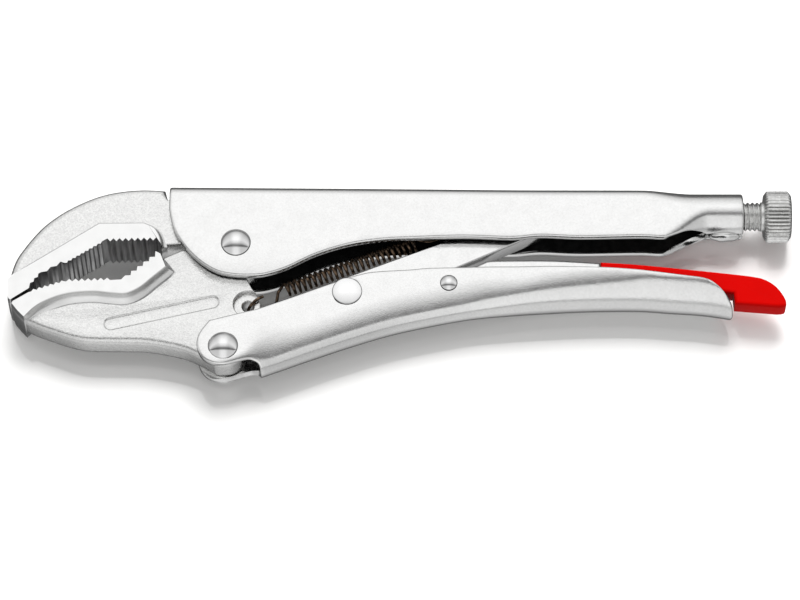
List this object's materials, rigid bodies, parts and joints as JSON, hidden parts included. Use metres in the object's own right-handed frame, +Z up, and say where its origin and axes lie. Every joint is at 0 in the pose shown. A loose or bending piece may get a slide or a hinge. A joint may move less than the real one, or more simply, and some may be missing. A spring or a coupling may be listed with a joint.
{
  "type": "locking pliers",
  "caption": "Locking pliers with curved toothed jaws, two pressed channel handles, an over-centre toggle link, a release lever with dipped grip and a knurled adjusting screw.",
  "frame": {"origin": "centre of the bounding box in plan, on the surface that the tool lies on", "axes": "+X from the jaws to the adjusting knob, +Y from the lower to the upper handle, +Z up through the thickness, along all pivots"},
  "size_m": [0.2504, 0.0654, 0.0194],
  "materials": {
    "plated_sheet": "bright satin plating",
    "forged_steel": "plated over a fine forged grain, tooth bands ground smooth",
    "polished_rivet": "mirror bright",
    "turned_steel": "turned and plated, straight knurl",
    "spring_wire": "oil-blackened wire",
    "red_dip": "glossy dipped plastic"
  },
  "bodies": {
    "frame": {"upper_handle": "plated_sheet", "fixed_jaw": "forged_steel", "jaw_rivet": "polished_rivet", "spring_anchor": "plated_sheet", "barrel_weld": "plated_sheet", "tension_spring": "spring_wire"},
    "jaw": {"moving_jaw": "forged_steel"},
    "grip": {"lower_handle": "plated_sheet", "handle_rivet": "polished_rivet", "link_rivet": "polished_rivet", "lever_rivet": "polished_rivet"},
    "link": {"toggle_link": "plated_sheet"},
    "lever": {"release_lever": "plated_sheet", "lever_grip": "red_dip"},
    "screw": {"adjusting_screw": "turned_steel"},
    "knob": {"screw_knob": "turned_steel"}
  },
  "joints": [
    {"name": "jaw_hinge", "type": "hinge", "parent": "frame", "child": "jaw", "pos_m": [-0.05285, 0.01133, 0.00969], "axis": [0, 0, 1], "range_deg": [0, 16], "deforming": ["tension_spring"]},
    {"name": "handle_hinge", "type": "hinge", "parent": "jaw", "child": "grip", "pos_m": [-0.05625, -0.02517, 0.00969], "axis": [0, 0, 1], "range_deg": [-48, 0]},
    {"name": "link_hinge", "type": "hinge", "parent": "grip", "child": "link", "pos_m": [-0.01725, -0.00557, 0.00969], "axis": [0, 0, 1], "range_deg": [0, 54]},
    {"name": "lever_hinge", "type": "hinge", "parent": "grip", "child": "lever", "pos_m": [0.01505, -0.00257, 0.00969], "axis": [0, 0, 1], "range_deg": [-2, 0]},
    {"name": "screw_slide", "type": "slide", "parent": "frame", "child": "screw", "axis": [1, 0, 0], "range_m": [0, 0.018]},
    {"name": "knob_turn", "type": "hinge", "parent": "screw", "child": "knob", "pos_m": [0.1209, 0.02428, 0.00969], "axis": [1, 0, 0], "range_deg": [0, 4325]}
  ],
  "couplings": [
    {"joint": "handle_hinge", "follows": "jaw_hinge", "ratio": -2.97},
    {"joint": "link_hinge", "follows": "jaw_hinge", "ratio": 3.32},
    {"joint": "knob_turn", "follows": "screw_slide", "rad_per_m": 4188.8}
  ]
}
